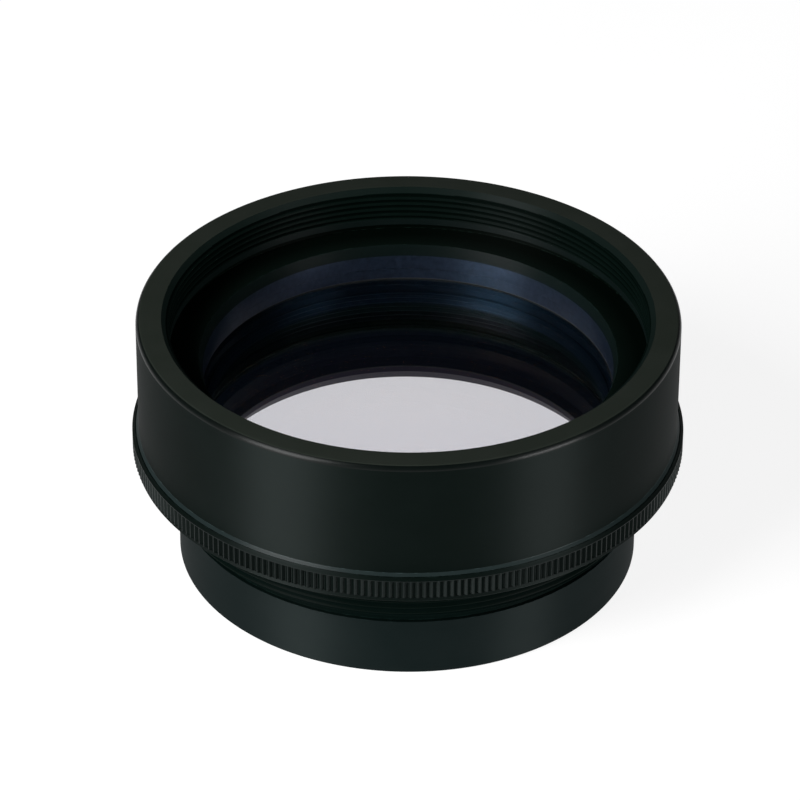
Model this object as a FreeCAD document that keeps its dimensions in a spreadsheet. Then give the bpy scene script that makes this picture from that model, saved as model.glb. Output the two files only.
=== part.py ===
import FreeCAD, Part
import math
import os
import Sketcher

# Telescope focal reducer. A knurled lens barrel with a male thread carries a sleeve with a female camera thread.
# Four glass elements and their rings are stacked in the barrel's bore, between its lip and a retaining ring.
# Lengths are in mm. The origin is the centre of the telescope end's face.
# +Z runs along the optical axis to the camera end.

# Driving dimensions. Radial sizes start from the thread, which is the same at both ends.
SIZES = {
    # radial
    "thread_r": 37.5,  # major radius of M75x1
    "thread_depth": 0.54,  # major radius less minor radius
    "pilot_step": 1.5,  # pilot inside the male thread
    "pilot_groove_depth": 0.7,
    "pilot_wall": 1.7,  # pilot over the retaining ring's bore
    "keeper_step": 0.7,  # retaining ring's bore over the glass bore
    "keeper_gap": 0.08,  # radial play of the retaining ring
    "glass_gap": 0.1,  # radial play of the glass
    "ring_gap": 0.2,  # radial play of the loose rings
    "joint_step": 2.5,  # sleeve's lower bore outside the thread
    "joint_gap": 0.08,  # radial play of the spigot in the sleeve
    "relief_depth": 0.8,  # reliefs next to the male threads
    "sleeve_wall": 2,
    "flange_step": 1,  # knurl's crests outside the sleeve
    "flange_land_step": 0.25,  # plain land inside the knurl's crests
    "entry_step": 0.55,  # mouth of the female thread outside its major radius
    "camera_relief_step": 0.1,
    # axial, outside
    "pilot_height": 9.6,
    "pilot_groove_height": 1.9,
    "thread_height": 5.5,
    "thread_relief_height": 1.2,
    "flange_height": 4.4,
    "flange_land_height": 0.95,
    "knurl_margin": 0.1,
    "sleeve_height": 19.4,
    # camera end
    "recess_depth": 7.4,  # rim to shelf
    "recess_foot": 1,
    "camera_relief_height": 0.7,
    "relief_bevel": 0.3,
    "shelf_height": 4.2,
    "aperture_cover": 1.7,  # shelf over the glass, radially
    "aperture_flare": 0.6,
    "aperture_flare_height": 1.2,
    "spigot_gap": 0.05,  # spigot's end to the shelf
    "spigot_relief_height": 0.9,
    "lip_height": 1.75,
    "lip_cover": 1.6,
    # chamfers
    "rim_chamfer": 0.5,
    "seam_chamfer": 0.15,
    "flange_top_chamfer": 0.45,
    "flange_low_chamfer": 0.25,
    "thread_chamfer": 0.45,
    "joint_chamfer": 0.4,
    "pilot_chamfer": 0.3,
    "front_chamfer": 0.4,
    "keeper_chamfer": 0.25,
    # knurl
    "knurl_count": 256,
    "knurl_depth": 0.36,
    "knurl_fill": 0.84,  # groove's width over its pitch
    "knurl_overshoot": 0.2,
    # rear element
    "cushion_height": 0.2,
    "cushion_set_back": 0.05,
    "rear_flat": 1.7,
    "rear_top_curve": 200,
    "rear_low_curve": 190,
    "rear_thickness": 3.9,
    # shim and spacer tube
    "seat_width": 1.3,
    "shim_height": 0.2,
    "tube_land": 1.2,
    "baffle_depth": 0.55,
    # doublet
    "air_rear": 7.34,
    "crown_top_curve": 220,
    "crown_low_curve": 220,
    "crown_edge": 1.27,  # thickness at the edge
    "doublet_width": 1.1,
    "doublet_spacer_height": 0.15,
    "flint_top_curve": 200,
    "flint_low_curve": 300,
    "flint_thickness": 2,
    "ground_flat": 1.5,
    # front element and what holds it
    "front_spacer_width": 1.8,
    "front_top_curve": 300,
    "front_low_curve": 220,
    "front_thickness": 2.6,
    "front_cushion_width": 2.5,
    "front_cushion_height": 0.3,
    "keeper_cover": 2.1,
    "keeper_recess": 1,
    "keeper_height": 3.1,
    "keeper_land": 1.1,
    "keeper_flare": 1.5,
    "keeper_runout": 0.5,
    "slot_width": 2,
    "slot_depth": 1.2,
    "slot_overshoot": 1,
}
BAFFLES = 6
SLOTS = 2

# Places that follow from the driving dimensions, each named once and used by every piece that meets there.
WORKED = {
    "pilot_r": "thread_r - pilot_step",
    "front_bore_r": "pilot_r - pilot_wall",
    "keeper_r": "front_bore_r - keeper_gap",
    "bore_r": "front_bore_r - keeper_step",
    "glass_r": "bore_r - glass_gap",
    "ring_r": "bore_r - ring_gap",
    "joint_r": "thread_r + joint_step",
    "spigot_r": "joint_r - joint_gap",
    "sleeve_r": "joint_r + sleeve_wall",
    "flange_r": "sleeve_r + flange_step",
    "land_r": "flange_r - flange_land_step",
    "knurl_root_r": "flange_r - knurl_depth",
    "knurl_tool_r": "flange_r + knurl_overshoot",
    "minor_r": "thread_r - thread_depth",
    "entry_r": "thread_r + entry_step",
    "aperture_r": "glass_r - aperture_cover",
    "lip_r": "glass_r - lip_cover",
    "rear_flat_r": "glass_r - rear_flat",
    "seat_r": "glass_r - seat_width",
    "doublet_r": "glass_r - doublet_width",
    "flat_r": "glass_r - ground_flat",
    "front_spacer_r": "glass_r - front_spacer_width",
    "front_cushion_r": "glass_r - front_cushion_width",
    "keeper_aperture_r": "glass_r - keeper_cover",
    "thread_low_z": "pilot_height + pilot_groove_height",
    "thread_top_z": "thread_low_z + thread_height",
    "flange_low_z": "thread_top_z + thread_relief_height",
    "knurl_low_z": "flange_low_z + flange_land_height",
    "seam_z": "flange_low_z + flange_height",
    "knurl_top_z": "seam_z - flange_top_chamfer - knurl_margin",
    "rim_z": "seam_z + sleeve_height",
    "shelf_top_z": "rim_z - recess_depth",
    "camera_relief_low_z": "shelf_top_z + recess_foot",
    "camera_relief_top_z": "camera_relief_low_z + camera_relief_height",
    "shelf_low_z": "shelf_top_z - shelf_height",
    "spigot_top_z": "shelf_low_z - spigot_gap",
    "spigot_relief_z": "seam_z + spigot_relief_height",
    "lip_low_z": "spigot_top_z - lip_height",
    "rear_flat_z": "lip_low_z - cushion_height",
    "rear_top_z": "rear_flat_z + sag(rear_top_curve, rear_flat_r)",
    "rear_low_z": "rear_top_z - rear_thickness",
    "rear_low_flat_z": "rear_low_z - sag(rear_low_curve, flat_r)",
    "tube_top_z": "rear_low_flat_z - shim_height",
    "crown_top_z": "rear_low_z - air_rear",
    "tube_low_z": "crown_top_z - sag(crown_top_curve, seat_r)",
    "baffle_top_z": "tube_top_z - tube_land",
    "baffle_low_z": "tube_low_z + tube_land",
    "crown_top_edge_z": "crown_top_z - sag(crown_top_curve, glass_r)",
    "crown_low_edge_z": "crown_top_edge_z - crown_edge",
    "crown_low_z": "crown_low_edge_z - sag(crown_low_curve, glass_r)",
    "doublet_top_z": "crown_low_z + sag(crown_low_curve, doublet_r)",
    "flint_flat_z": "doublet_top_z - doublet_spacer_height",
    "flint_top_z": "flint_flat_z - sag(flint_top_curve, doublet_r)",
    "flint_low_z": "flint_top_z - flint_thickness",
    "flint_low_flat_z": "flint_low_z - sag(flint_low_curve, flat_r)",
    "keeper_top_z": "keeper_recess + keeper_height",
    "keeper_bore_z": "keeper_top_z + keeper_runout",
    "front_cushion_top_z": "keeper_top_z + front_cushion_height",
    "front_low_z": "front_cushion_top_z - sag(front_low_curve, front_cushion_r)",
    "front_edge_z": "front_low_z + sag(front_low_curve, glass_r)",
    "front_top_z": "front_low_z + front_thickness",
    "front_flat_z": "front_top_z + sag(front_top_curve, flat_r)",
    "knurl_width": "2 * 3.14159265 * flange_r / knurl_count * knurl_fill",
    "knurl_tool_width": "knurl_width * (knurl_depth + knurl_overshoot) / knurl_depth",
}

doc = FreeCAD.newDocument("FocalReducer")
sheet = doc.addObject("Spreadsheet::Sheet", "Dims")
for row, (alias, number) in enumerate(SIZES.items(), start=1):
    sheet.set("A%d" % row, alias)
    sheet.set("B%d" % row, str(number))
    sheet.setAlias("B%d" % row, alias)
doc.recompute()


def words(text):
    """Splits a formula into its names and what stands between them."""
    part = ""
    for letter in text:
        is_word = letter.isalnum() or letter in "_."
        if part and is_word != (part[-1].isalnum() or part[-1] in "_."):
            yield part
            part = ""
        part += letter
    yield part


def cells(text):
    """The formula with each name replaced by its cell, or by the formula that it stands for."""
    while "sag(" in text:
        start = text.index("sag(")
        end = text.index(")", start)
        curve, radius = text[start + 4:end].split(", ")
        text = text[:start] + "(%s - sqrt(%s ^ 2 - (%s) ^ 2))" % (curve, curve, radius) + text[end + 1:]
    out = ""
    for word in words(text):
        if word in WORKED:
            out += "(" + cells(WORKED[word]) + ")"
        elif word in SIZES:
            out += "Dims." + word
        else:
            out += word
    return out


def value(text):
    """A formula's present value, in mm."""
    return float(sheet.evalExpression(cells(text)))


def plane(body, role):
    """One of the body's own origin planes or axes."""
    for feature in body.Origin.OriginFeatures:
        if feature.Role == role:
            return feature
    raise RuntimeError("no %s in %s" % (role, body.Name))


def new_sketch(body, name, role, height=None):
    """A sketch on an origin plane of its own body, raised by a formula if one is given."""
    sketch = body.newObject("Sketcher::SketchObject", name)
    sketch.AttachmentSupport = (plane(body, role), [""])
    sketch.MapMode = "FlatFace"
    sketch.Visibility = False
    if height:
        sketch.AttachmentOffset = FreeCAD.Placement(FreeCAD.Vector(0, 0, value(height)), FreeCAD.Rotation())
        sketch.setExpression("AttachmentOffset.Base.z", cells(height))
    return sketch


def join(sketch, first, first_end, second, second_end):
    sketch.addConstraint(Sketcher.Constraint("Coincident", first, first_end, second, second_end))


def measure(sketch, kind, geometry, end, formula):
    """Places a point by its distance from the origin, bound to the sheet."""
    k = sketch.addConstraint(Sketcher.Constraint(kind, -1, 1, geometry, end, value(formula)))
    sketch.setExpression("Constraints[%d]" % k, cells(formula))


def span(sketch, first, first_end, second, second_end, formula):
    """Sets the distance along Y between two points, bound to the sheet."""
    numbers = (first, first_end, second, second_end, value(formula))
    k = sketch.addConstraint(Sketcher.Constraint("DistanceY", *numbers))
    sketch.setExpression("Constraints[%d]" % k, cells(formula))


def axis_arc(start, end):
    """An arc between two points of the section, centred on the axis, and which of its ends comes first."""
    centre = (end[0] ** 2 + end[1] ** 2 - start[0] ** 2 - start[1] ** 2) / (2 * (end[1] - start[1]))
    radius = math.hypot(start[0], start[1] - centre)
    angles = [math.atan2(p[1] - centre, p[0]) for p in (start, end)]
    circle = Part.Circle(FreeCAD.Vector(0, centre, 0), FreeCAD.Vector(0, 0, 1), radius)
    ends = (1, 2) if angles[0] < angles[1] else (2, 1)
    return Part.ArcOfCircle(circle, min(angles), max(angles)), ends


def section(body, name, corners):
    """Closed half section in the XZ plane. A corner is a radius and a height, None being the axis or the
    base plane. The word sphere after them makes the edge that leaves the corner an arc centred on the axis."""
    sketch = new_sketch(body, name, "XZ_Plane")
    points = [tuple(value(c) if c else 0.0 for c in corner[:2]) for corner in corners]
    ends = []
    for i, corner in enumerate(corners):
        start, end = points[i], points[(i + 1) % len(points)]
        if "sphere" in corner:
            edge, order = axis_arc(start, end)
        else:
            edge = Part.LineSegment(FreeCAD.Vector(*start, 0), FreeCAD.Vector(*end, 0))
            order = (1, 2)
        sketch.addGeometry(edge, False)
        ends.append(order)
    for i, corner in enumerate(corners):
        after = (i + 1) % len(corners)
        join(sketch, i, ends[i][1], after, ends[after][0])
        if "sphere" in corner:
            sketch.addConstraint(Sketcher.Constraint("PointOnObject", i, 3, -2))
        for kind, formula, axis in (("DistanceX", corner[0], -2), ("DistanceY", corner[1], -1)):
            if formula:
                measure(sketch, kind, i, ends[i][0], formula)
            else:
                sketch.addConstraint(Sketcher.Constraint("PointOnObject", i, ends[i][0], axis))
    return sketch


def turned(name, corners):
    """A body turned from one half section."""
    body = doc.addObject("PartDesign::Body", name)
    body.Label = name
    sketch = section(body, name + "_section", corners)
    spin = body.newObject("PartDesign::Revolution", name + "_turned")
    spin.Profile = sketch
    spin.ReferenceAxis = (sketch, ["V_Axis"])
    spin.Angle = 360
    body.Tip = spin
    return body


def ring(name, inner, low, high):
    """A plain loose ring."""
    return turned(name, [(inner, low), ("ring_r", low), ("ring_r", high), (inner, high)])


def cut_upwards(body, name, sketch, height, count):
    """Cuts a sketch up into the body, repeats the cut round the axis, and checks that it removed something."""
    before = body.Shape.Volume
    cut = body.newObject("PartDesign::Pocket", name)
    cut.Profile = sketch
    cut.Reversed = True
    cut.Length = value(height)
    cut.setExpression("Length", cells(height))
    pattern = body.newObject("PartDesign::PolarPattern", name + "_pattern")
    pattern.Originals = [cut]
    pattern.Axis = (plane(body, "Z_Axis"), [""])
    pattern.Angle = 360
    pattern.Occurrences = int(value(count))
    pattern.setExpression("Occurrences", cells(count))
    body.Tip = pattern
    doc.recompute()
    if body.Shape.Volume > before - 1:
        raise RuntimeError("%s cut nothing" % name)


def camera_end_sleeve():
    """Foot on the flange, shelf with the clear aperture, and the camera thread's wall at its minor radius."""
    return turned("camera_end_sleeve", [
        ("joint_r + joint_chamfer", "seam_z"),
        ("sleeve_r - seam_chamfer", "seam_z"),
        ("sleeve_r", "seam_z + seam_chamfer"),
        ("sleeve_r", "rim_z - rim_chamfer"),
        ("sleeve_r - rim_chamfer", "rim_z"),
        ("entry_r", "rim_z"),
        ("minor_r", "rim_z - entry_step - thread_depth"),
        ("minor_r", "camera_relief_top_z"),
        ("thread_r + camera_relief_step", "camera_relief_top_z - relief_bevel"),
        ("thread_r + camera_relief_step", "camera_relief_low_z"),
        ("minor_r", "camera_relief_low_z - relief_bevel"),
        ("minor_r", "shelf_top_z"),
        ("aperture_r + aperture_flare", "shelf_top_z"),
        ("aperture_r", "shelf_top_z - aperture_flare_height"),
        ("aperture_r", "shelf_low_z"),
        ("joint_r", "shelf_low_z"),
        ("joint_r", "seam_z + joint_chamfer"),
    ])


def lens_barrel():
    """Pilot, male thread at its major radius, knurled flange, spigot in the sleeve, and bore with the lip."""
    body = turned("lens_barrel", [
        ("front_bore_r + front_chamfer", None),
        ("pilot_r - pilot_chamfer", None),
        ("pilot_r", "pilot_chamfer"),
        ("pilot_r", "pilot_height"),
        ("pilot_r - pilot_groove_depth", "pilot_height"),
        ("pilot_r - pilot_groove_depth", "thread_low_z"),
        ("thread_r - thread_chamfer", "thread_low_z"),
        ("thread_r", "thread_low_z + thread_chamfer"),
        ("thread_r", "thread_top_z - thread_chamfer"),
        ("thread_r - thread_chamfer", "thread_top_z"),
        ("thread_r - relief_depth", "thread_top_z"),
        ("thread_r - relief_depth", "flange_low_z"),
        ("land_r - flange_low_chamfer", "flange_low_z"),
        ("land_r", "flange_low_z + flange_low_chamfer"),
        ("land_r", "knurl_low_z"),
        ("flange_r", "knurl_low_z"),
        ("flange_r", "seam_z - flange_top_chamfer"),
        ("flange_r - flange_top_chamfer", "seam_z"),
        ("joint_r - relief_depth", "seam_z"),
        ("joint_r - relief_depth", "spigot_relief_z"),
        ("spigot_r", "spigot_relief_z + relief_bevel"),
        ("spigot_r", "spigot_top_z - joint_chamfer"),
        ("spigot_r - joint_chamfer", "spigot_top_z"),
        ("lip_r", "spigot_top_z"),
        ("lip_r", "lip_low_z"),
        ("bore_r", "lip_low_z"),
        ("bore_r", "keeper_bore_z"),
        ("front_bore_r", "keeper_bore_z"),
        ("front_bore_r", "front_chamfer"),
    ])
    doc.recompute()
    cut_upwards(body, "knurl", knurl_groove(body), "knurl_top_z - knurl_low_z", "knurl_count")
    return body


def knurl_groove(body):
    """One V groove of the knurl, wider than it needs to be so that it cuts clear through the flange's edge."""
    sketch = new_sketch(body, "knurl_groove_section", "XY_Plane", "knurl_low_z")
    root, out = value("knurl_root_r"), value("knurl_tool_r")
    side = value("knurl_tool_width") / 2
    corners = [FreeCAD.Vector(root, 0, 0), FreeCAD.Vector(out, side, 0), FreeCAD.Vector(out, -side, 0)]
    for i in range(3):
        sketch.addGeometry(Part.LineSegment(corners[i], corners[(i + 1) % 3]), False)
    for i in range(3):
        join(sketch, i, 2, (i + 1) % 3, 1)
    sketch.addConstraint(Sketcher.Constraint("PointOnObject", 0, 1, -1))
    sketch.addConstraint(Sketcher.Constraint("Symmetric", 1, 1, 1, 2, -1))
    measure(sketch, "DistanceX", 0, 1, "knurl_root_r")
    measure(sketch, "DistanceX", 1, 1, "knurl_tool_r")
    span(sketch, 1, 2, 1, 1, "knurl_tool_width")
    return sketch


def spacer_tube():
    """Tube between the rear element's shim and the crown, with V grooves against glare in its bore."""
    corners = [
        ("seat_r", "tube_low_z"),
        ("ring_r", "tube_low_z"),
        ("ring_r", "tube_top_z"),
        ("seat_r", "tube_top_z"),
        ("seat_r", "baffle_top_z"),
    ]
    for i in range(1, 2 * BAFFLES):
        height = "baffle_top_z - (baffle_top_z - baffle_low_z) * %d / %d" % (i, 2 * BAFFLES)
        corners.append(("seat_r + baffle_depth" if i % 2 else "seat_r", height))
    corners.append(("seat_r", "baffle_low_z"))
    return turned("spacer_tube", corners)


def rear_element():
    """Meniscus, convex towards the camera, with a ground flat under the lip and one on the shim."""
    return turned("rear_element", [
        (None, "rear_low_z", "sphere"),
        ("flat_r", "rear_low_flat_z"),
        ("glass_r", "rear_low_flat_z"),
        ("glass_r", "rear_flat_z"),
        ("rear_flat_r", "rear_flat_z", "sphere"),
        (None, "rear_top_z"),
    ])


def crown_element():
    """Convex on both sides."""
    return turned("crown_element", [
        (None, "crown_low_z", "sphere"),
        ("glass_r", "crown_low_edge_z"),
        ("glass_r", "crown_top_edge_z", "sphere"),
        (None, "crown_top_z"),
    ])


def flint_element():
    """Concave on both sides, with a ground flat round each face."""
    return turned("flint_element", [
        (None, "flint_low_z", "sphere"),
        ("flat_r", "flint_low_flat_z"),
        ("glass_r", "flint_low_flat_z"),
        ("glass_r", "flint_flat_z"),
        ("doublet_r", "flint_flat_z", "sphere"),
        (None, "flint_top_z"),
    ])


def front_element():
    """Meniscus, convex towards the telescope."""
    return turned("front_element", [
        (None, "front_low_z", "sphere"),
        ("glass_r", "front_edge_z"),
        ("glass_r", "front_flat_z"),
        ("flat_r", "front_flat_z", "sphere"),
        (None, "front_top_z"),
    ])


def front_retaining_ring():
    """Screws in from the telescope end, with a short clear land, a flare and spanner slots across its face."""
    body = turned("front_retaining_ring", [
        ("keeper_aperture_r + keeper_flare", "keeper_recess"),
        ("keeper_r - keeper_chamfer", "keeper_recess"),
        ("keeper_r", "keeper_recess + keeper_chamfer"),
        ("keeper_r", "keeper_top_z - keeper_chamfer"),
        ("keeper_r - keeper_chamfer", "keeper_top_z"),
        ("keeper_aperture_r", "keeper_top_z"),
        ("keeper_aperture_r", "keeper_top_z - keeper_land"),
    ])
    doc.recompute()
    cut_upwards(body, "spanner_slot", slot_section(body), "slot_depth", str(SLOTS))
    return body


def slot_section(body):
    sketch = new_sketch(body, "spanner_slot_section", "XY_Plane", "keeper_recess")
    inner, outer = "keeper_aperture_r - slot_overshoot", "keeper_r + slot_overshoot"
    side = value("slot_width") / 2
    places = [(value(inner), -side), (value(outer), -side), (value(outer), side), (value(inner), side)]
    corners = [FreeCAD.Vector(x, y, 0) for x, y in places]
    for i in range(4):
        sketch.addGeometry(Part.LineSegment(corners[i], corners[(i + 1) % 4]), False)
    for i in range(4):
        join(sketch, i, 2, (i + 1) % 4, 1)
    for i, kind in ((0, "Horizontal"), (2, "Horizontal"), (3, "Vertical")):
        sketch.addConstraint(Sketcher.Constraint(kind, i))
    sketch.addConstraint(Sketcher.Constraint("Symmetric", 1, 1, 1, 2, -1))
    measure(sketch, "DistanceX", 0, 1, inner)
    measure(sketch, "DistanceX", 1, 1, outer)
    span(sketch, 1, 1, 1, 2, "slot_width")
    return sketch


bodies = [
    camera_end_sleeve(),
    lens_barrel(),
    ring("rear_cushion", "lip_r + cushion_set_back", "rear_flat_z", "lip_low_z"),
    rear_element(),
    ring("shim_ring", "seat_r", "tube_top_z", "rear_low_flat_z"),
    spacer_tube(),
    crown_element(),
    ring("doublet_spacer", "doublet_r", "flint_flat_z", "doublet_top_z"),
    flint_element(),
    ring("front_spacer", "front_spacer_r", "front_flat_z", "flint_low_flat_z"),
    front_element(),
    ring("front_cushion", "front_cushion_r", "keeper_top_z", "front_cushion_top_z"),
    front_retaining_ring(),
]
doc.recompute()

for thing in doc.Objects:
    if "Invalid" in thing.State or "Error" in thing.State:
        raise RuntimeError("%s did not compute: %s" % (thing.Name, thing.State))
os.makedirs("parts", exist_ok=True)
for body in bodies:
    shape = body.Shape
    if shape.isNull() or not shape.isValid() or len(shape.Solids) != 1:
        raise RuntimeError("%s is not one valid solid" % body.Name)
for body in bodies:
    shape = body.Shape
    shape.exportStep(os.path.join("parts", body.Label + ".step"))
    box = shape.BoundBox
    print("%-22s %9.1f mm3, z %.3f to %.3f" % (body.Label, shape.Volume, box.ZMin, box.ZMax))
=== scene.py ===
import math

import bmesh
import bpy
from mathutils import Matrix, Vector


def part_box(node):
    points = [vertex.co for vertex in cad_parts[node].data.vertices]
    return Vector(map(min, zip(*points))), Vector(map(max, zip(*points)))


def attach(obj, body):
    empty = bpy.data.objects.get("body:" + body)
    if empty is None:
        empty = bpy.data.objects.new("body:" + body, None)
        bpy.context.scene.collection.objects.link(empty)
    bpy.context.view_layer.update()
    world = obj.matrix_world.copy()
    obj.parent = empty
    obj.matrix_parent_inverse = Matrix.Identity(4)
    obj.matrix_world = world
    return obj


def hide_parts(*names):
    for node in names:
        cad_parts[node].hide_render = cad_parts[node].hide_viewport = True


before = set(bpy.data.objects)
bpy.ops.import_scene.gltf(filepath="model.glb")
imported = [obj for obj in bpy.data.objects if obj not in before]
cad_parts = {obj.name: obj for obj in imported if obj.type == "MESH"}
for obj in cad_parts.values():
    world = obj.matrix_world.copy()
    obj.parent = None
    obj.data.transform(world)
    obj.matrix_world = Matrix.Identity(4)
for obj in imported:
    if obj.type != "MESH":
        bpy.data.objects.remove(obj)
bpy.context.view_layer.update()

MM = 0.001
COLUMNS = 256  # points in each ring of a mesh, one for each groove of the knurl
ROWS_PER_TURN = 16  # rows of a threaded band over one pitch
EDGE_BREAK = 0.07  # how far a rounded edge reaches from its corner, in mm
EDGE_SHARE = 0.35  # and at most this share of the lines that meet there
SHARP = math.radians(35)


def reach(node):
    """A CAD node's lowest and highest z and its radius, in mm."""
    low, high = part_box(node)
    return low.z / MM, high.z / MM, min(-low.x, -low.y, high.x, high.y) / MM


# Sizes in mm. Heights count from the telescope end.
SEAM_Z, RIM_Z, SLEEVE_R = reach("camera_end_sleeve")
_, SPIGOT_TOP_Z, FLANGE_R = reach("lens_barrel")
CUSHION_LOW_Z, LIP_LOW_Z, RING_R = reach("rear_cushion")
SPACER_LOW_Z, SPACER_TOP_Z, _ = reach("spacer_tube")
SHIM_LOW_Z, SHIM_TOP_Z, _ = reach("shim_ring")
DOUBLET_GAP_LOW_Z, DOUBLET_GAP_TOP_Z, _ = reach("doublet_spacer")
FRONT_SPACER_LOW_Z, FRONT_SPACER_TOP_Z, _ = reach("front_spacer")
FRONT_CUSHION_LOW_Z, FRONT_CUSHION_TOP_Z, _ = reach("front_cushion")
_, _, GLASS_R = reach("rear_element")

THREAD_R = 37.5
PITCH = 1.0
FEMALE_DEPTH = 0.54
MALE_DEPTH = 0.61
FEMALE_CREST = 4 / ROWS_PER_TURN
MALE_CREST = 2 / ROWS_PER_TURN
THREAD_ROOT = 2 / ROWS_PER_TURN
MINOR_R = THREAD_R - FEMALE_DEPTH

SHELF_LOW_Z = 30.4
APERTURE_R = 31.8
APERTURE_FLARE_R = 32.4
APERTURE_FLARE_Z = 32.85
SHELF_TOP_Z = 34.6
RELIEF_R = 37.6
RELIEF_SLOPE = 0.25
LAND_LOW_Z = 35.6
LAND_TOP_Z = 36.0  # the climbing rows start here
THREAD_END_Z = 36.65  # and the thread's grooves here
THREAD_RUN_OUT = 0.3
ENTRY_R = 38.05
ENTRY_CHAMFER = 0.5
RIM_FILLET = 0.8
FOOT_WIDTH = 0.42
JOINT_R = 40.0
JOINT_CHAMFER = 0.4

PILOT_R = 36.0
PILOT_CHAMFER = 0.3
PILOT_TOP_Z = 9.6
GROOVE_R = 35.3
MALE_LOW_Z = 11.5
MALE_TOP_Z = 17.0
MALE_CHAMFER = 0.45
NECK_R = 36.7
FLANGE_LOW_Z = 18.2
FLANGE_LOW_CHAMFER = 0.25
FLANGE_LAND_R = 42.75
KNURL_LOW_Z = 19.15
KNURL_TOP_Z = 22.05
KNURL_DEPTH = 0.36
KNURL_FLOOR = 0.08  # the floor's share of a groove's pitch
KNURL_CREST = 0.16  # the crest's share of it
KNURL_TOP_CHAMFER = 0.45
UNDERCUT_R = 39.2
UNDERCUT_TOP_Z = 23.5
UNDERCUT_SLOPE = 0.3
SPIGOT_R = 39.92
SPIGOT_CHAMFER = 0.4
LIP_R = 31.9
BORE_R = 33.6
FRONT_BORE_R = 34.3
FRONT_BORE_TOP_Z = 4.6
FRONT_BORE_CHAMFER = 0.4

CUSHION_BORE_R = 31.95
SHIM_BORE_R = 32.2
SPACER_BORE_R = 32.2
DOUBLET_GAP_BORE_R = 32.4
FRONT_SPACER_BORE_R = 31.7
FRONT_CUSHION_BORE_R = 31.0
BAFFLE_GROOVES = 6
BAFFLE_DEPTH = 0.5
BAFFLE_LAND = 1.2

# A lens face is its sphere's radius, below 0 where it is hollow, and the radius of its polished part.
REAR_TOP_FACE = (200, 31.8)
REAR_LOW_FACE = (-190, 32.0)
CROWN_FACE = (220, GLASS_R)
FLINT_TOP_FACE = (-200, 32.4)
FLINT_LOW_FACE = (-300, 32.0)
FRONT_TOP_FACE = (-300, 32.0)
FRONT_LOW_FACE = (220, GLASS_R)
GLASS_BEVEL = 0.15


# Mesh code. A ring is a list of vertices round the axis.

def add_ring(mesh, points, wear=0.0):
    """Adds a ring from (x, y, z) points in mm. wear marks the edges where handling thins the finish."""
    layer = mesh.verts.layers.float["edge_wear"]
    ring = []
    for x, y, z in points:
        vertex = mesh.verts.new((x * MM, y * MM, z * MM))
        vertex[layer] = wear
        ring.append(vertex)
    return ring


def circle(radius, z):
    """Points of a ring, or the one point where it is on the axis."""
    if radius == 0:
        return [(0, 0, z)]
    step = 2 * math.pi / COLUMNS
    return [(radius * math.cos(i * step), radius * math.sin(i * step), z) for i in range(COLUMNS)]


def bridge(mesh, low, high):
    """Faces between two rings, where one may have a whole number of times the other's points."""
    if len(low) == len(high) == 1:
        return
    few, many = (low, high) if len(low) < len(high) else (high, low)
    share = len(many) // len(few)
    for i, corner in enumerate(few):
        after = (i + 1) % len(few)
        for k in range(share - 1):
            mesh.faces.new((corner, many[i * share + k], many[i * share + k + 1]))
        last = many[i * share + share - 1]
        mesh.faces.new(tuple(dict.fromkeys((corner, last, many[after * share], few[after]))))


def rounded(corners, closed):
    """The corners with each edge that turns by more than SHARP rounded, as (radius, z, wear)."""
    points = []
    for i, corner in enumerate(corners):
        at = Vector(corner)
        if not closed and i in (0, len(corners) - 1):
            points.append((at.x, at.y, 0.0))
            continue
        before = Vector(corners[i - 1]) - at
        after = Vector(corners[(i + 1) % len(corners)]) - at
        turn = math.pi - before.angle(after)
        if turn < SHARP:
            points.append((at.x, at.y, 0.0))
            continue
        cut = min(EDGE_BREAK, EDGE_SHARE * before.length, EDGE_SHARE * after.length)
        start = at + before.normalized() * cut
        end = at + after.normalized() * cut
        for share, wear in ((0.0, 0.0), (1 / 3, 1.0), (2 / 3, 1.0), (1.0, 0.0)):
            point = start * (1 - share) ** 2 + at * 2 * share * (1 - share) + end * share ** 2
            points.append((point.x, point.y, wear))
    return points


def groove_depth(phase, crest):
    """Depth of a 60 degree thread at a point of its pitch, from 0 on the crest to 1 at the root."""
    flank = (1 - crest - THREAD_ROOT) / 2
    if phase < crest:
        return 0.0
    if phase < crest + flank:
        return (phase - crest) / flank
    if phase < crest + flank + THREAD_ROOT:
        return 1.0
    return (1 - phase) / flank


def thread_band(low, high, surface):
    """A section of a turned piece whose rows climb with a right-hand thread between two heights.
    surface gives the radius from the phase over one pitch and the height."""
    def build(mesh):
        turns = math.ceil((high - low) / PITCH) + 1
        step = 2 * math.pi / COLUMNS
        rings = []
        for k in range(turns * ROWS_PER_TURN + 1):
            points = []
            for i in range(COLUMNS):
                rise = i / COLUMNS
                z = low + PITCH * (k / ROWS_PER_TURN - 1 + rise)
                z = min(max(z, low), high)
                radius = surface(((z - low) / PITCH - rise) % 1.0, z)
                points.append((radius * math.cos(i * step), radius * math.sin(i * step), z))
            rings.append(add_ring(mesh, points))
        top = len(rings) - 1
        for k in range(top):
            for i in range(COLUMNS - 1):
                mesh.faces.new((rings[k][i], rings[k][i + 1], rings[k + 1][i + 1], rings[k + 1][i]))
            above = min(k + ROWS_PER_TURN, top)
            next_above = min(above + 1, top)
            corners = (rings[k][-1], rings[above][0], rings[next_above][0], rings[k + 1][-1])
            mesh.faces.new(tuple(dict.fromkeys(corners)))
        return rings[0], rings[-1]
    return build


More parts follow.
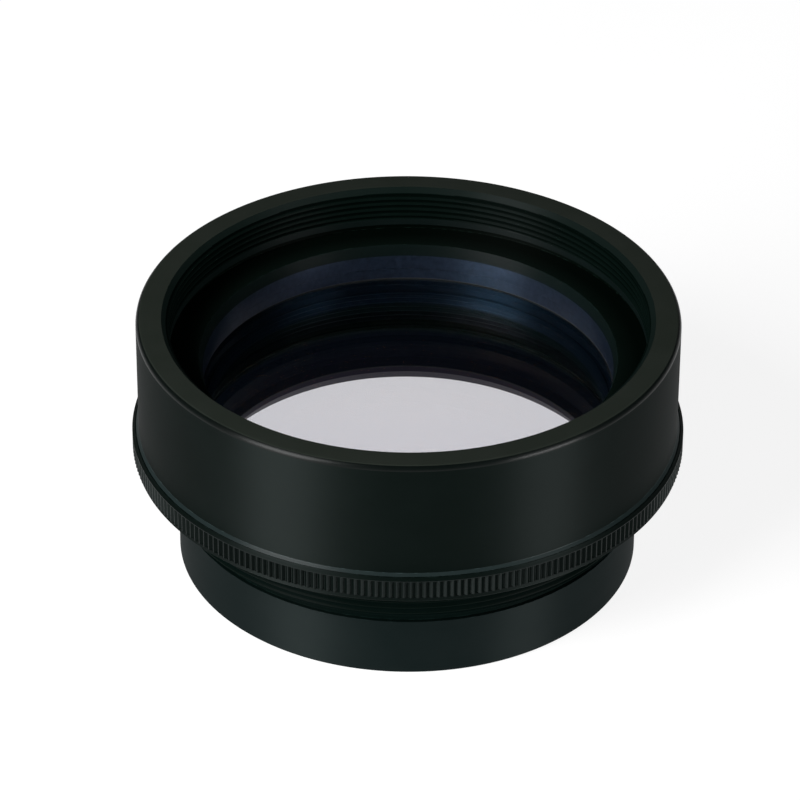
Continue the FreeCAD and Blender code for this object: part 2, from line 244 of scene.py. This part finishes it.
def knurl_band(mesh):
    """The section of the flange with its straight grooves. Each groove has a narrow floor, and a flat
    crest is left between it and the next."""
    root_r = FLANGE_R - KNURL_DEPTH
    floor_end = KNURL_FLOOR / 2
    crest_start = 0.5 - KNURL_CREST / 2
    shape = ((-floor_end, root_r), (floor_end, root_r), (crest_start, FLANGE_R), (1 - crest_start, FLANGE_R))
    step = 2 * math.pi / COLUMNS
    grooved = [((i + share) * step, radius) for i in range(COLUMNS) for share, radius in shape]
    full = [((i + share) * step, FLANGE_R) for i in range(COLUMNS) for share, _ in shape]
    rings = []
    for points, z in ((grooved, KNURL_LOW_Z), (grooved, KNURL_TOP_Z), (full, KNURL_TOP_Z)):
        rings.append(add_ring(mesh, [(r * math.cos(a), r * math.sin(a), z) for a, r in points]))
    bridge_equal(mesh, rings[0], rings[1])
    bridge_equal(mesh, rings[1], rings[2])
    return rings[0], rings[-1]


def bridge_equal(mesh, low, high):
    """Faces between two rings that have as many points."""
    for i in range(len(low)):
        corners = (low[i - 1], low[i], high[i], high[i - 1])
        mesh.faces.new(corners)


def turned_piece(name, *sections):
    """A closed piece turned round the axis. A section is a list of (radius, z) corners, or a function
    that builds its own rows and returns the first and the last."""
    mesh = bmesh.new()
    mesh.verts.layers.float.new("edge_wear")
    ends = []
    for section in sections:
        if callable(section):
            ends.append(section(mesh))
            continue
        on_axis = section[0][0] == 0
        points = rounded(section, closed=len(sections) == 1 and not on_axis)
        rings = [add_ring(mesh, circle(radius, z), wear) for radius, z, wear in points]
        for low, high in zip(rings, rings[1:]):
            bridge(mesh, low, high)
        ends.append((rings[0], rings[-1]))
    for (_, last), (first, _) in zip(ends, ends[1:] + ends[:1]):
        bridge(mesh, last, first)
    bmesh.ops.remove_doubles(mesh, verts=mesh.verts, dist=1e-7)
    bmesh.ops.recalc_face_normals(mesh, faces=mesh.faces)
    data = bpy.data.meshes.new(name)
    mesh.to_mesh(data)
    mesh.free()
    data.shade_smooth()
    data.set_sharp_from_angle(angle=SHARP)
    piece = bpy.data.objects.new(name, data)
    bpy.context.scene.collection.objects.link(piece)
    normals = piece.modifiers.new("Flat faces stay flat", "WEIGHTED_NORMAL")
    normals.keep_sharp = True
    return piece


def flat_ring(name, bore_r, low_z, high_z):
    """A plain ring that fills the lens bore outside its own bore."""
    return turned_piece(name, [(bore_r, low_z), (bore_r, high_z), (RING_R, high_z), (RING_R, low_z)])


def dress(piece, node, slot, *materials):
    """The piece stands for a CAD node, and takes its materials."""
    for material in materials:
        piece.data.materials.append(material)
    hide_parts(node)
    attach(piece, "root")


def paint(piece, finish_at):
    """Gives each face the finish that finish_at names for its radius and height in mm, and for how far
    it looks up."""
    for face in piece.data.polygons:
        radius = math.hypot(face.center.x, face.center.y) / MM
        finish = finish_at(radius, face.center.z / MM, face.normal.z)
        face.material_index = piece.data.materials.find(finish.name)


# Materials.

LATHE_MARKS = 7000  # scales of noise, per metre
BLAST_GRAIN = 6500
WORN_SPOTS = 900
CLOUDS = 160
BORE_CLOUDS = 1400
RUBBER_GRAIN = 3000
INK_GRAIN = 5000
Z_SHARE = 1.7  # how much faster the lathe's marks pass along the axis than across it
WEAR_GAIN = 3.2  # how much paler the finish is where it is worn
SHELF_SHADE_R = 35.6  # where the shelf's painted shade is darkest, from here out to its wall, in mm
GREENISH = (0.86, 1, 0.98)
BLUISH = (0.52, 0.64, 1)
PURPLISH = (0.95, 0.8, 1)


def new_material(name, sockets):
    """A material with values set on its shader's own sockets."""
    material = bpy.data.materials.new(name)
    material.use_nodes = True
    shader = material.node_tree.nodes["Principled BSDF"]
    for socket, value in sockets.items():
        shader.inputs[socket].default_value = value
    return material, material.node_tree, shader


def add_node(tree, kind, values=None, links=None, **settings):
    """A node with its settings, its socket values and the outputs that feed its sockets."""
    made = tree.nodes.new(kind)
    for key, value in settings.items():
        setattr(made, key, value)
    for socket, value in (values or {}).items():
        made.inputs[socket].default_value = value
    for socket, output in (links or {}).items():
        tree.links.new(output, made.inputs[socket])
    return made


def turning_path(tree):
    """The place, its distance from the axis, and a coordinate that grows across the marks of a lathe tool."""
    place = add_node(tree, "ShaderNodeTexCoord").outputs["Object"]
    parts = add_node(tree, "ShaderNodeSeparateXYZ", links={"Vector": place})
    flat = add_node(tree, "ShaderNodeVectorMath", {1: (1, 1, 0)}, {0: place}, operation="MULTIPLY")
    radius = add_node(tree, "ShaderNodeVectorMath", links={0: flat.outputs["Vector"]}, operation="LENGTH")
    path = add_node(tree, "ShaderNodeMath", {1: Z_SHARE},
                    {0: parts.outputs["Z"], 2: radius.outputs["Value"]}, operation="MULTIPLY_ADD")
    return place, radius.outputs["Value"], path.outputs["Value"]


def noise(tree, vector, scale, detail=2.0):
    """Noise in space, from 0 to 1."""
    made = add_node(tree, "ShaderNodeTexNoise", {"Scale": scale, "Detail": detail}, {"Vector": vector})
    return made.outputs["Fac"]


def noise_along(tree, path, scale, detail=2.0):
    """Noise along one coordinate, from 0 to 1."""
    made = add_node(tree, "ShaderNodeTexNoise", {"Scale": scale, "Detail": detail}, {"W": path},
                    noise_dimensions="1D")
    return made.outputs["Fac"]


def remap(tree, value, from_low, from_high, to_low, to_high):
    made = add_node(tree, "ShaderNodeMapRange",
                    {"From Min": from_low, "From Max": from_high, "To Min": to_low, "To Max": to_high},
                    {"Value": value})
    return made.outputs["Result"]


def mix_colours(tree, share, first, second):
    made = add_node(tree, "ShaderNodeMix", data_type="RGBA")
    tree.links.new(share, made.inputs[0])
    for socket, colour in ((made.inputs[6], first), (made.inputs[7], second)):
        if isinstance(colour, tuple):
            socket.default_value = (*colour, 1)
        else:
            tree.links.new(colour, socket)
    return made.outputs[2]


def anodised(name, colour, haze, roughness, specular, turned=0.85, tint=(1, 1, 1), clouds=CLOUDS,
             painted_shade=None):
    """Turned and black anodised aluminium, mottled from its colour to its haze. turned is how far the
    tool's fine grooves stretch a highlight along the axis, and tint is the highlight's colour. painted_shade
    gives two distances from the axis, and the colour of painted shade that the finish goes over to between
    them."""
    material, tree, shader = new_material(name, {
        "Specular IOR Level": specular,
        "Specular Tint": (*tint, 1),
        "Anisotropic": turned,
        "Anisotropic Rotation": 0.25,
    })
    around = add_node(tree, "ShaderNodeTangent", direction_type="RADIAL", axis="Z").outputs["Tangent"]
    tree.links.new(around, shader.inputs["Tangent"])
    place, radius, path = turning_path(tree)
    cloud = noise(tree, place, clouds, 4)
    marks = noise_along(tree, path, LATHE_MARKS, 3)
    grain = noise(tree, place, BLAST_GRAIN)
    clouded = mix_colours(tree, remap(tree, cloud, 0.35, 0.7, 0, 1), colour, haze)
    # Painted shade: the colour darkens between the two radii and stays dark beyond.
    if painted_shade:
        near, far, shade_colour = painted_shade
        clouded = mix_colours(tree, remap(tree, radius, near * MM, far * MM, 0, 1), clouded, shade_colour)
    worn = add_node(tree, "ShaderNodeAttribute", attribute_name="edge_wear").outputs["Fac"]
    patch = remap(tree, noise(tree, place, WORN_SPOTS, 3), 0.5, 0.62, 0, 0.6)
    bare = add_node(tree, "ShaderNodeMath", links={0: worn, 1: patch}, operation="MULTIPLY").outputs["Value"]
    bright = tuple(WEAR_GAIN * part for part in haze)
    tree.links.new(mix_colours(tree, bare, clouded, bright), shader.inputs["Base Color"])
    tree.links.new(remap(tree, marks, 0.3, 0.7, roughness - 0.05, roughness + 0.06),
                   shader.inputs["Roughness"])
    fine = add_node(tree, "ShaderNodeBump", {"Strength": 0.35, "Distance": 4e-6}, {"Height": marks})
    speckled = add_node(tree, "ShaderNodeBump", {"Strength": 0.35, "Distance": 6e-6},
                        {"Height": grain, "Normal": fine.outputs["Normal"]})
    tree.links.new(speckled.outputs["Normal"], shader.inputs["Normal"])
    return material


def rubber(name):
    material, tree, shader = new_material(name, {"Specular IOR Level": 0.3})
    place = add_node(tree, "ShaderNodeTexCoord").outputs["Object"]
    grain = noise(tree, place, RUBBER_GRAIN, 3)
    tree.links.new(mix_colours(tree, grain, (0.008, 0.008, 0.008), (0.02, 0.02, 0.019)),
                   shader.inputs["Base Color"])
    tree.links.new(remap(tree, grain, 0.3, 0.7, 0.6, 0.85), shader.inputs["Roughness"])
    bump = add_node(tree, "ShaderNodeBump", {"Strength": 0.4, "Distance": 1e-5}, {"Height": grain})
    tree.links.new(bump.outputs["Normal"], shader.inputs["Normal"])
    return material


def coated_glass(name, ior, film, film_ior):
    """Polished glass with a thin coating, whose thickness is in nanometres."""
    material, _, _ = new_material(name, {
        "Base Color": (0.99, 1, 1, 1),
        "Roughness": 0.0,
        "IOR": ior,
        "Transmission Weight": 1.0,
        "Thin Film Thickness": film,
        "Thin Film IOR": film_ior,
    })
    return material


def edge_ink(name):
    """Matt black ink on the ground rim of a lens."""
    material, tree, shader = new_material(name, {"Specular IOR Level": 0.2})
    place = add_node(tree, "ShaderNodeTexCoord").outputs["Object"]
    grain = noise(tree, place, INK_GRAIN, 3)
    tree.links.new(mix_colours(tree, grain, (0.006, 0.006, 0.008), (0.016, 0.016, 0.018)),
                   shader.inputs["Base Color"])
    tree.links.new(remap(tree, grain, 0.3, 0.7, 0.55, 0.8), shader.inputs["Roughness"])
    return material


OUTER_BLACK = anodised("Outer anodising", (0.0011, 0.0026, 0.0021), (0.0015, 0.0032, 0.0027),
                       roughness=0.6, specular=0.11, turned=0.95, tint=GREENISH)
# The pilot's finish is painted paler, as painted light bounced up from the floor.
PILOT_PAINTED_LIGHT = anodised("Pilot anodising with painted floor light", (0.0036, 0.0066, 0.0066), (0.0044, 0.0074, 0.0074),
                       roughness=0.6, specular=0.09, turned=0.95, tint=GREENISH)
# Level faces of the rim: far paler than the sides, as painted light.
RIM_PAINTED_LIGHT = anodised("Rim anodising with painted light", (0.0153, 0.0192, 0.0153), (0.0178, 0.0217, 0.0178),
                     roughness=0.5, specular=0.05, turned=0.3)
EDGE_BLACK = anodised("Edge anodising", (0.0018, 0.003, 0.0026), (0.0022, 0.0036, 0.0032),
                      roughness=0.34, specular=0.13, turned=0.8)
# The foot's upward band: paler than the sleeve, as painted light.
FOOT_PAINTED_LIGHT = anodised("Foot anodising with painted light", (0.009, 0.0145, 0.0145), (0.0105, 0.016, 0.016),
                      roughness=0.36, specular=0.09, turned=0.8)
# Knurl crests: paler than the groove walls, as a painted highlight.
KNURL_CREST_PAINTED_LIGHT = anodised("Knurl crests with painted highlight", (0.0052, 0.0078, 0.0074), (0.0062, 0.0088, 0.0084),
                       roughness=0.42, specular=0.11, turned=0.34)
THREAD_BLACK = anodised("Thread anodising", (0.0014, 0.0038, 0.003), (0.0018, 0.0045, 0.0036),
                        roughness=0.5, specular=0.04)
# Thread roots: darker and duller than the crests, as painted shade.
THREAD_ROOT_PAINTED_SHADE = anodised("Thread roots with painted shade", (0.0006, 0.002, 0.0015), (0.0008, 0.0024, 0.0018),
                        roughness=0.5, specular=0.01)
# Under the flange: a dull finish with almost no highlight, as painted shade.
NECK_PAINTED_SHADE = anodised("Neck anodising with painted shade", (0.0016, 0.0042, 0.0036), (0.002, 0.0048, 0.0042),
                      roughness=0.5, specular=0.01)
# Entry band below the rim: paler, as a painted highlight.
ENTRY_PAINTED_HIGHLIGHT = anodised("Entry anodising with painted highlight", (0.0035, 0.0068, 0.0058), (0.0042, 0.0076, 0.0066),
                       roughness=0.5, specular=0.05)
LAND_BLACK = anodised("Land anodising", (0.0026, 0.0052, 0.0048), (0.0032, 0.006, 0.0056),
                      roughness=0.5, specular=0.06)
# Shelf: darkens towards its outer wall, as painted shade.
SHELF_WITH_PAINTED_SHADE = anodised("Shelf anodising with painted shade", (0.0021, 0.0047, 0.0036), (0.0025, 0.0054, 0.0042),
                       roughness=0.5, specular=0.02,
                       painted_shade=(APERTURE_FLARE_R, SHELF_SHADE_R, (0.0007, 0.002, 0.0013)))
BORE_BLACK = anodised("Bore anodising", (0.003, 0.0048, 0.0088), (0.0072, 0.0112, 0.02),
                      roughness=0.42, specular=0.25, turned=0.7, tint=BLUISH, clouds=BORE_CLOUDS)
INNER_BLACK = anodised("Inner anodising", (0.0032, 0.0028, 0.0044), (0.004, 0.0036, 0.0055),
                       roughness=0.5, specular=0.03)
RING_BLACK = anodised("Ring anodising", (0.006, 0.004, 0.013), (0.0075, 0.0055, 0.0155),
                      roughness=0.4, specular=0.2, turned=0.8, tint=PURPLISH)
RUBBER = rubber("Cushion rubber")
BRASS = anodised("Blackened brass", (0.01, 0.009, 0.0075), (0.016, 0.0145, 0.012),
                 roughness=0.4, specular=0.3, turned=0.5)
INK = edge_ink("Lens edge ink")
TOP_GLASS = coated_glass("Top coated glass", 1.52, 198, 2.0)
INNER_GLASS = coated_glass("Inner coated glass", 1.52, 115, 1.26)


# Where a finish ends.

NEAR = 0.1  # how close to a wall a face's middle counts as on it, in mm
SKIN = 1.0  # how far in from a wall its finish goes round the edges, in mm
ENTRY_HIGHLIGHT_REACH = 0.75  # how far down from the rim the entry's painted highlight goes, in mm
CREST_SHARE = 0.3  # how much of a thread's depth has the finish of its crests; deeper faces get painted shade
LEVEL = 0.9  # a face that looks up by more than this is level, where 1 is straight up
SLANTED = 0.04  # and by more than this it is slanted, where 0 is sideways


# The sleeve, with its female thread.

def female_surface(phase, z):
    """Radius of the sleeve's inner wall, whose thread runs out into a land below and a cone above."""
    entry = ENTRY_R - (RIM_Z - z)
    share = min(max((z - THREAD_END_Z) / THREAD_RUN_OUT, 0), 1)
    return max(entry, MINOR_R + FEMALE_DEPTH * share * groove_depth(phase, FEMALE_CREST))


def sleeve_finish(radius, z, facing):
    """Which finish the sleeve has at a radius and height, on a face that looks up by facing."""
    # On the rim, level faces get painted light; the slanted edge gets a shinier finish.
    if z > RIM_Z - RIM_FILLET and radius > ENTRY_R - NEAR:
        if facing > LEVEL:
            return RIM_PAINTED_LIGHT
        return EDGE_BLACK if facing > SLANTED else OUTER_BLACK
    # The foot's upward faces get painted light.
    if radius > SLEEVE_R and facing > SLANTED:
        return FOOT_PAINTED_LIGHT
    if radius > SLEEVE_R - SKIN or z < SHELF_LOW_Z + NEAR:
        return OUTER_BLACK
    # A band below the rim gets a painted highlight.
    if z > RIM_Z - ENTRY_HIGHLIGHT_REACH:
        return ENTRY_PAINTED_HIGHLIGHT
    if radius < APERTURE_R + NEAR and z < APERTURE_FLARE_Z:
        return BORE_BLACK
    if radius < APERTURE_FLARE_R:
        return LAND_BLACK
    # The shelf gets painted shade towards its outer wall.
    if z < LAND_LOW_Z:
        return SHELF_WITH_PAINTED_SHADE
    if z < THREAD_END_Z:
        return LAND_BLACK
    # The thread's roots get painted shade, darker than its crests.
    if radius > MINOR_R + CREST_SHARE * FEMALE_DEPTH:
        return THREAD_ROOT_PAINTED_SHADE
    return THREAD_BLACK


def quarter_round(outer_r, top_z, radius, steps=4):
    """Points round an outer edge, from its top face down to its side."""
    points = []
    for i in range(steps + 1):
        angle = math.pi / 2 * (1 - i / steps)
        points.append((outer_r - radius * (1 - math.cos(angle)), top_z - radius * (1 - math.sin(angle))))
    return points


sleeve_corners = [
    (ENTRY_R, RIM_Z),
    *quarter_round(SLEEVE_R, RIM_Z, RIM_FILLET),
    (SLEEVE_R, SEAM_Z + FOOT_WIDTH),
    (SLEEVE_R + FOOT_WIDTH, SEAM_Z),
    (JOINT_R + JOINT_CHAMFER, SEAM_Z),
    (JOINT_R, SEAM_Z + JOINT_CHAMFER),
    (JOINT_R, SHELF_LOW_Z),
    (APERTURE_R, SHELF_LOW_Z),
    (APERTURE_R, APERTURE_FLARE_Z),
    (APERTURE_FLARE_R, SHELF_TOP_Z),
    (RELIEF_R, SHELF_TOP_Z),
    (RELIEF_R, LAND_LOW_Z - RELIEF_SLOPE),
    (MINOR_R, LAND_LOW_Z),
]
sleeve = turned_piece("sleeve", sleeve_corners,
                      thread_band(LAND_TOP_Z, RIM_Z - ENTRY_CHAMFER, female_surface))
dress(sleeve, "camera_end_sleeve", "black_anodised", OUTER_BLACK, RIM_PAINTED_LIGHT, EDGE_BLACK, FOOT_PAINTED_LIGHT,
      THREAD_BLACK, LAND_BLACK, SHELF_WITH_PAINTED_SHADE, BORE_BLACK, THREAD_ROOT_PAINTED_SHADE, ENTRY_PAINTED_HIGHLIGHT)
paint(sleeve, sleeve_finish)


# The barrel, with its male thread and its knurled flange.

def male_surface(phase, z):
    """Radius of the barrel's thread, which is chamfered at both ends."""
    chamfer = THREAD_R - MALE_CHAMFER + min(z - MALE_LOW_Z, MALE_TOP_Z - z)
    thread = THREAD_R - MALE_DEPTH * groove_depth(phase, MALE_CREST)
    return min(chamfer, thread)


def barrel_finish(radius, z, facing):
    """Which finish the barrel has at a radius and height, whichever way the face looks."""
    if abs(radius - LIP_R) < NEAR and z > LIP_LOW_Z:
        return BORE_BLACK
    if radius < BORE_R + SKIN:
        return OUTER_BLACK
    # The pilot, next to the floor, gets painted light.
    if z < PILOT_TOP_Z:
        return PILOT_PAINTED_LIGHT
    if MALE_LOW_Z < z < MALE_TOP_Z and radius > THREAD_R - CREST_SHARE * MALE_DEPTH:
        return THREAD_BLACK
    # Below the flange, the thread's flanks and roots, the groove and the neck get painted shade.
    if z < FLANGE_LOW_Z:
        return NECK_PAINTED_SHADE
    # Knurl crests get a painted highlight; the groove walls keep the darker outer finish.
    if radius > FLANGE_R - NEAR and KNURL_LOW_Z < z < SEAM_Z - KNURL_TOP_CHAMFER:
        return KNURL_CREST_PAINTED_LIGHT
    return OUTER_BLACK


neck_corners = [
    (NECK_R, MALE_TOP_Z),
    (NECK_R, FLANGE_LOW_Z),
    (FLANGE_LAND_R - FLANGE_LOW_CHAMFER, FLANGE_LOW_Z),
    (FLANGE_LAND_R, FLANGE_LOW_Z + FLANGE_LOW_CHAMFER),
    (FLANGE_LAND_R, KNURL_LOW_Z),
]
body_corners = [
    (FLANGE_R, SEAM_Z - KNURL_TOP_CHAMFER),
    (FLANGE_R - KNURL_TOP_CHAMFER, SEAM_Z),
    (UNDERCUT_R, SEAM_Z),
    (UNDERCUT_R, UNDERCUT_TOP_Z),
    (SPIGOT_R, UNDERCUT_TOP_Z + UNDERCUT_SLOPE),
    (SPIGOT_R, SPIGOT_TOP_Z - SPIGOT_CHAMFER),
    (SPIGOT_R - SPIGOT_CHAMFER, SPIGOT_TOP_Z),
    (LIP_R, SPIGOT_TOP_Z),
    (LIP_R, LIP_LOW_Z),
    (BORE_R, LIP_LOW_Z),
    (BORE_R, FRONT_BORE_TOP_Z),
    (FRONT_BORE_R, FRONT_BORE_TOP_Z),
    (FRONT_BORE_R, FRONT_BORE_CHAMFER),
    (FRONT_BORE_R + FRONT_BORE_CHAMFER, 0),
    (PILOT_R - PILOT_CHAMFER, 0),
    (PILOT_R, PILOT_CHAMFER),
    (PILOT_R, PILOT_TOP_Z),
    (GROOVE_R, PILOT_TOP_Z),
    (GROOVE_R, MALE_LOW_Z),
]
barrel = turned_piece("barrel", neck_corners, knurl_band, body_corners,
                      thread_band(MALE_LOW_Z, MALE_TOP_Z, male_surface))
dress(barrel, "lens_barrel", "black_anodised", OUTER_BLACK, PILOT_PAINTED_LIGHT, KNURL_CREST_PAINTED_LIGHT, THREAD_BLACK,
      NECK_PAINTED_SHADE, BORE_BLACK)
paint(barrel, barrel_finish)


# Rings inside the barrel.

cushion = flat_ring("rear_cushion_ring", CUSHION_BORE_R, CUSHION_LOW_Z, LIP_LOW_Z)
dress(cushion, "rear_cushion", "black_rubber", RUBBER)

shim = flat_ring("air_space_shim", SHIM_BORE_R, SHIM_LOW_Z, SHIM_TOP_Z)
dress(shim, "shim_ring", "blackened_brass", BRASS)


def baffle_corners():
    """The spacer's wall from top to bottom, with a V groove for each step between its two lands."""
    length = SPACER_TOP_Z - SPACER_LOW_Z - 2 * BAFFLE_LAND
    step = length / BAFFLE_GROOVES
    corners = [(SPACER_BORE_R, SPACER_TOP_Z)]
    for i in range(BAFFLE_GROOVES):
        top = SPACER_TOP_Z - BAFFLE_LAND - i * step
        corners.append((SPACER_BORE_R, top))
        corners.append((SPACER_BORE_R + BAFFLE_DEPTH, top - step / 2))
    corners.append((SPACER_BORE_R, SPACER_LOW_Z + BAFFLE_LAND))
    corners.append((SPACER_BORE_R, SPACER_LOW_Z))
    return corners


spacer_back = [(RING_R, SPACER_LOW_Z), (RING_R, SPACER_TOP_Z)]
spacer = turned_piece("baffled_spacer", baffle_corners() + spacer_back)
dress(spacer, "spacer_tube", "black_anodised", INNER_BLACK)

gap_ring = flat_ring("doublet_gap_ring", DOUBLET_GAP_BORE_R, DOUBLET_GAP_LOW_Z, DOUBLET_GAP_TOP_Z)
dress(gap_ring, "doublet_spacer", "blackened_brass", BRASS)

front_ring = flat_ring("front_spacer_ring", FRONT_SPACER_BORE_R, FRONT_SPACER_LOW_Z, FRONT_SPACER_TOP_Z)
dress(front_ring, "front_spacer", "black_anodised", INNER_BLACK)

front_pad = flat_ring("front_cushion_ring", FRONT_CUSHION_BORE_R, FRONT_CUSHION_LOW_Z, FRONT_CUSHION_TOP_Z)
dress(front_pad, "front_cushion", "black_rubber", RUBBER)


# Lenses.

LOW_SLOT = 1  # a lens's materials, after its top glass
INK_SLOT = 2
STEEP = 0.5  # a face that looks up or down by less than this is on the side


def sag(curve, radius):
    """How far a sphere of radius curve falls away at a distance from its axis."""
    return curve - math.sqrt(curve * curve - radius * radius)


def polished_face(extreme, side, curve, rim, rows=24):
    """Points of a face from the axis to its rim. side is 1 for the top and -1 for the underside, and a
    negative curve is hollow. extreme is how far the element reaches on that side."""
    depth = sag(-curve, rim) if curve < 0 else 0
    points = []
    for i in range(rows + 1):
        radius = rim * i / rows
        drop = depth - sag(-curve, radius) if curve < 0 else sag(curve, radius)
        points.append((radius, extreme - side * drop))
    return points


def lens(name, node, top, underside, top_glass, low_glass):
    """An element from its two faces. Outside its polished part a face is ground flat."""
    low, high, edge_r = reach(node)
    top_r, underside_r = top[1], underside[1]
    corners = polished_face(high, 1, *top)
    if top_r < edge_r:
        ground_z = corners[-1][1]
        corners += [(edge_r - GLASS_BEVEL, ground_z), (edge_r, ground_z - GLASS_BEVEL)]
    under = polished_face(low, -1, *underside)
    if underside_r < edge_r:
        ground_z = under[-1][1]
        corners += [(edge_r, ground_z + GLASS_BEVEL), (edge_r - GLASS_BEVEL, ground_z)]
    piece = turned_piece(name, corners + under[::-1])
    dress(piece, node, "coated_glass", top_glass, low_glass, INK)
    for face in piece.data.polygons:
        polished_r = top_r if face.normal.z > 0 else underside_r
        radius = math.hypot(face.center.x, face.center.y)
        if radius > polished_r * MM or abs(face.normal.z) < STEEP:
            face.material_index = INK_SLOT
        elif face.normal.z < 0:
            face.material_index = LOW_SLOT


lens("rear_lens", "rear_element", REAR_TOP_FACE, REAR_LOW_FACE, TOP_GLASS, INNER_GLASS)
lens("crown_lens", "crown_element", CROWN_FACE, CROWN_FACE, INNER_GLASS, INNER_GLASS)
lens("flint_lens", "flint_element", FLINT_TOP_FACE, FLINT_LOW_FACE, INNER_GLASS, INNER_GLASS)
lens("front_lens", "front_element", FRONT_TOP_FACE, FRONT_LOW_FACE, INNER_GLASS, INNER_GLASS)


# The retaining ring.

for material_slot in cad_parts["front_retaining_ring"].material_slots:
    material_slot.material = RING_BLACK


# Floor, light and camera.

CAMERA_ELEVATION = math.radians(33.4879)
CAMERA_DISTANCE = 0.717
CAMERA_ROLL = math.radians(0.323)
CAMERA_AIM = Vector((-0.0012427, 0, 0.0260643))
CAMERA_LENS = 207.17  # mm
SENSOR_WIDTH = 36  # mm
LAMP_DISTANCE = 0.8
FLOOR_R = 4.0
FLOOR_DROP = 0.00002  # keeps the floor off the part's own underside
FLOOR_GLOW = 0.86
HORIZON = (0.12, 0.12, 0.12, 1)
LOW_SKY = (0.08, 0.08, 0.082, 1)
SKY = (0.009, 0.008, 0.014, 1)


def add_camera():
    camera = bpy.data.objects.new("Camera", bpy.data.cameras.new("Camera"))
    camera.data.sensor_width = SENSOR_WIDTH
    camera.data.sensor_fit = "HORIZONTAL"
    camera.data.lens = CAMERA_LENS
    camera.data.clip_start = 0.01
    back = Vector((0, -math.cos(CAMERA_ELEVATION), math.sin(CAMERA_ELEVATION)))
    tilt = Matrix.Rotation(math.pi / 2 - CAMERA_ELEVATION, 4, "X")
    roll = Matrix.Rotation(CAMERA_ROLL, 4, "Z")
    camera.matrix_world = Matrix.Translation(CAMERA_AIM + back * CAMERA_DISTANCE) @ tilt @ roll
    bpy.context.scene.collection.objects.link(camera)
    bpy.context.scene.camera = camera


def add_softbox(name, azimuth, elevation, width, height, power):
    """A lamp that faces the object. Azimuth 0 is the camera's side, and it grows to the right."""
    data = bpy.data.lights.new(name, "AREA")
    data.shape = "RECTANGLE"
    data.size = width
    data.size_y = height
    data.energy = power
    lamp = bpy.data.objects.new(name, data)
    turn = math.radians(azimuth)
    lift = math.radians(elevation)
    out = Vector((math.sin(turn) * math.cos(lift), -math.cos(turn) * math.cos(lift), math.sin(lift)))
    lamp.location = out * LAMP_DISTANCE
    lamp.rotation_mode = "QUATERNION"
    lamp.rotation_quaternion = out.to_track_quat("Z", "Y")
    bpy.context.scene.collection.objects.link(lamp)


def add_floor():
    """A round pale floor. It is white to the camera, to reflections and through glass, less the object's
    shadow."""
    mesh = bmesh.new()
    bmesh.ops.create_circle(mesh, cap_ends=True, segments=96, radius=FLOOR_R)
    data = bpy.data.meshes.new("floor")
    mesh.to_mesh(data)
    mesh.free()
    floor = bpy.data.objects.new("floor", data)
    floor.location.z = -FLOOR_DROP
    bpy.context.scene.collection.objects.link(floor)
    material, tree, shader = new_material("Pale floor", {"Roughness": 0.9, "Specular IOR Level": 0.0})
    place = add_node(tree, "ShaderNodeTexCoord").outputs["Object"]
    paper = mix_colours(tree, noise(tree, place, 40), (0.2, 0.2, 0.2), (0.21, 0.21, 0.21))
    tree.links.new(paper, shader.inputs["Base Color"])
    path = add_node(tree, "ShaderNodeLightPath")
    seen = path.outputs["Is Camera Ray"]
    for kind in ("Is Glossy Ray", "Is Transmission Ray"):
        seen = add_node(tree, "ShaderNodeMath", links={0: seen, 1: path.outputs[kind]},
                        operation="MAXIMUM").outputs["Value"]
    glow = add_node(tree, "ShaderNodeMath", {1: FLOOR_GLOW}, {0: seen}, operation="MULTIPLY")
    shader.inputs["Emission Color"].default_value = (1, 1, 1, 1)
    tree.links.new(glow.outputs["Value"], shader.inputs["Emission Strength"])
    data.materials.append(material)


def set_world():
    """A dim studio, palest near the horizon."""
    world = bpy.data.worlds.new("Studio")
    world.use_nodes = True
    tree = world.node_tree
    background = tree.nodes["Background"]
    place = add_node(tree, "ShaderNodeTexCoord").outputs["Generated"]
    height = add_node(tree, "ShaderNodeSeparateXYZ", links={"Vector": place}).outputs["Z"]
    ramp = add_node(tree, "ShaderNodeValToRGB", links={"Fac": height})
    stops = ramp.color_ramp.elements
    stops[0].color = HORIZON
    stops[1].color = SKY
    stops.new(0.1).color = LOW_SKY
    stops.new(0.2).color = SKY
    tree.links.new(ramp.outputs["Color"], background.inputs["Color"])
    bpy.context.scene.world = world


add_camera()
add_floor()
set_world()
add_softbox("Left softbox", azimuth=-51, elevation=29, width=0.38, height=0.7, power=12.5)
add_softbox("Right softbox", azimuth=54, elevation=9, width=0.34, height=0.24, power=6.2)

bpy.context.scene.view_settings.view_transform = "Standard"
